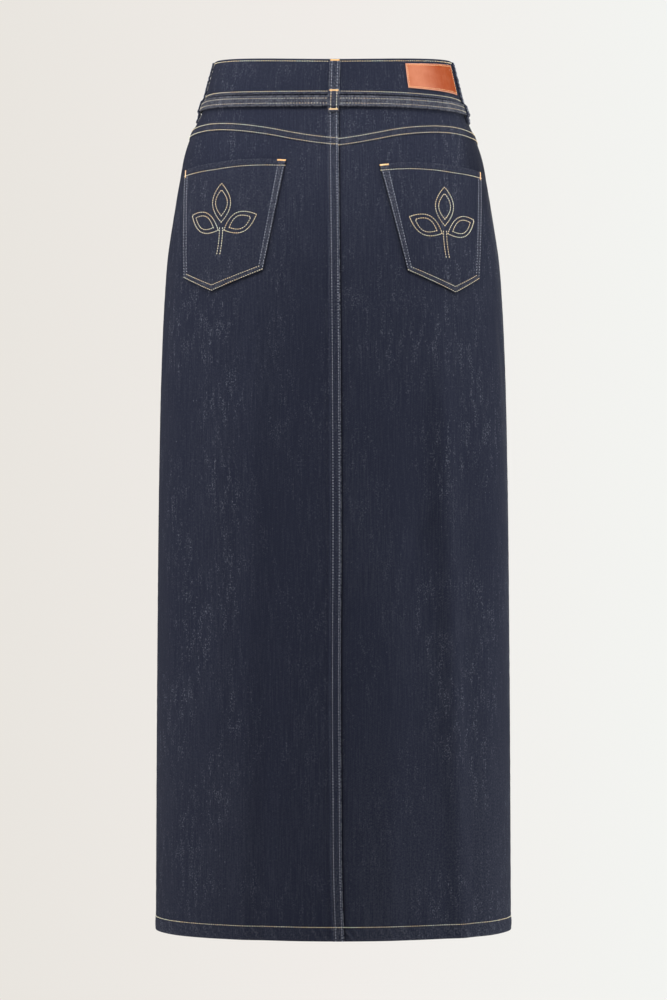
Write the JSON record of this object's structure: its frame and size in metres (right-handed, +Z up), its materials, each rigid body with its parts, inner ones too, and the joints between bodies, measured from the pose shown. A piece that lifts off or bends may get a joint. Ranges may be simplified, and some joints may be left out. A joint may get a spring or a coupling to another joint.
{
  "type": "denim skirt",
  "caption": "Long straight high-waisted denim skirt, filled out as worn, with back yoke, patch pockets, belt loops, a narrow belt and a bare leather patch; open at waist and hem.",
  "frame": {"origin": "middle of the waist opening, at half the height of the waistband, where the wearer holds the skirt up", "axes": "+Z up along the body, -Y towards the back of the skirt with its yoke and pockets, +Y towards the front, +X to the wearer's right"},
  "size_m": [0.4033, 0.2821, 0.9855],
  "materials": {
    "denim": "raw indigo denim, right-hand twill with light slubs",
    "belt_denim": "paler indigo denim, folded and stitched twice",
    "patch_leather": "smooth orange-brown vegetable-tanned leather, bare",
    "hardware": "aged pale brass, satin",
    "gold_thread": "gold topstitching thread",
    "orange_thread": "orange bartack thread",
    "grey_thread": "grey-blue tonal thread"
  },
  "bodies": {
    "root": {"waistband": "denim", "back_yoke_left": "denim", "back_yoke_right": "denim", "back_panel_left": "denim", "back_panel_right": "denim", "front_panel_left": "denim", "front_panel_right": "denim", "back_pocket_left": "denim", "back_pocket_right": "denim", "belt": "belt_denim", "belt_loop_back": "denim", "belt_loop_side_left": "denim", "belt_loop_side_right": "denim", "belt_loop_front_left": "denim", "belt_loop_front_right": "denim", "leather_patch": "patch_leather", "belt_buckle": "hardware", "buckle_prong": "hardware", "waist_button": "hardware"}
  },
  "joints": []
}
